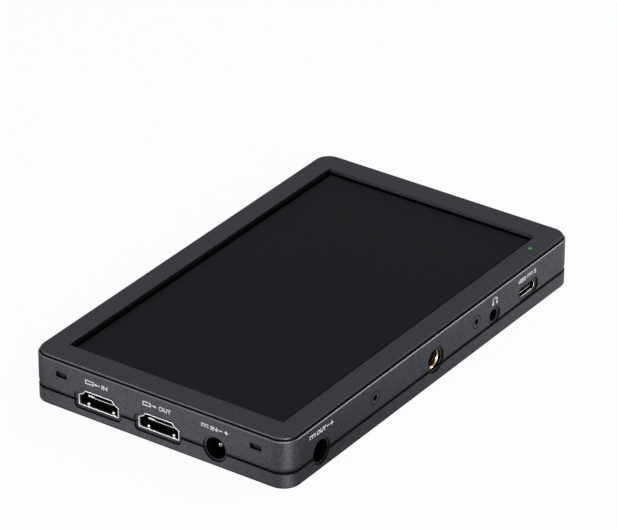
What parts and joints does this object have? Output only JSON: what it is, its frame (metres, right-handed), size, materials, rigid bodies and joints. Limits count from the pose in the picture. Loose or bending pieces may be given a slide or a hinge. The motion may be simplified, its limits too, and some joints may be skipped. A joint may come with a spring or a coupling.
{
  "type": "camera field monitor",
  "caption": "Flat on-camera field monitor with a recessed screen in a three-layer metal case, side sockets, a tripod socket and a press button.",
  "frame": {"origin": "centre of the flat back face, which it lies on", "axes": "+Z out of the screen, X along the long side, -Y towards the side with the tripod socket"},
  "size_m": [0.1544, 0.0944, 0.017],
  "materials": {
    "anodised_black": "fine bead blasted, black anodised",
    "black_rubber": "matte",
    "black_steel": "black oxide",
    "plain_steel": "zinc plated",
    "tinned_steel": "bright tinned",
    "brass": "turned",
    "screen_matte": "anti-glare film",
    "black_film": "matte",
    "panel_glass": "polished",
    "white_film": "frosted",
    "clear_plastic": "polished",
    "strip_white": "matte",
    "amber_film": "smooth",
    "black_plastic": "moulded",
    "board_green": "solder mask",
    "chip_black": "moulded",
    "pad_grey": "soft",
    "plain_aluminium": "extruded",
    "ferrite_grey": "sintered",
    "black_mesh": "woven",
    "gold_contacts": "gold plated",
    "nickel_pin": "nickel plated",
    "lamp_green": "lit green"
  },
  "bodies": {
    "case": {"front_bezel": "anodised_black", "front_housing": "anodised_black", "rear_cover": "anodised_black", "bezel_gasket": "black_rubber", "seam_gasket": "black_rubber", "cover_screws": "black_steel", "bezel_screws": "black_steel", "board_screws": "plain_steel", "sink_screws": "plain_steel", "plate_inserts": "brass", "tripod_insert": "brass", "sink_standoffs": "brass", "screen_film": "screen_matte", "light_seal": "black_film", "lcd_panel": "panel_glass", "diffuser_films": "white_film", "light_guide": "clear_plastic", "backlight_strip": "strip_white", "panel_frame": "plain_steel", "panel_ribbon": "amber_film", "ribbon_socket": "black_plastic", "main_board": "board_green", "processor": "chip_black", "thermal_pad": "pad_grey", "heat_sink": "plain_aluminium", "shield_can": "tinned_steel", "board_chips": "chip_black", "power_coils": "ferrite_grey", "capacitors": "plain_aluminium", "dust_mesh": "black_mesh", "video_in_shell": "tinned_steel", "video_in_tongue": "black_plastic", "video_in_contacts": "gold_contacts", "video_out_shell": "tinned_steel", "video_out_tongue": "black_plastic", "video_out_contacts": "gold_contacts", "power_in_jack": "black_plastic", "power_in_pin": "nickel_pin", "power_out_jack": "black_plastic", "power_out_pin": "nickel_pin", "phones_jack": "black_plastic", "data_shell": "tinned_steel", "data_tongue": "black_plastic", "data_contacts": "gold_contacts", "lamp_pipe": "lamp_green", "lamp_chip": "strip_white", "switch_body": "black_plastic"},
    "button": {"power_button": "anodised_black", "switch_stem": "black_plastic"}
  },
  "joints": [
    {"name": "button_press", "type": "slide", "parent": "case", "child": "button", "axis": [0, -1, 0], "range_m": [0, 0.0005], "stiffness_N_per_m": 800, "springref_m": -0.001}
  ]
}
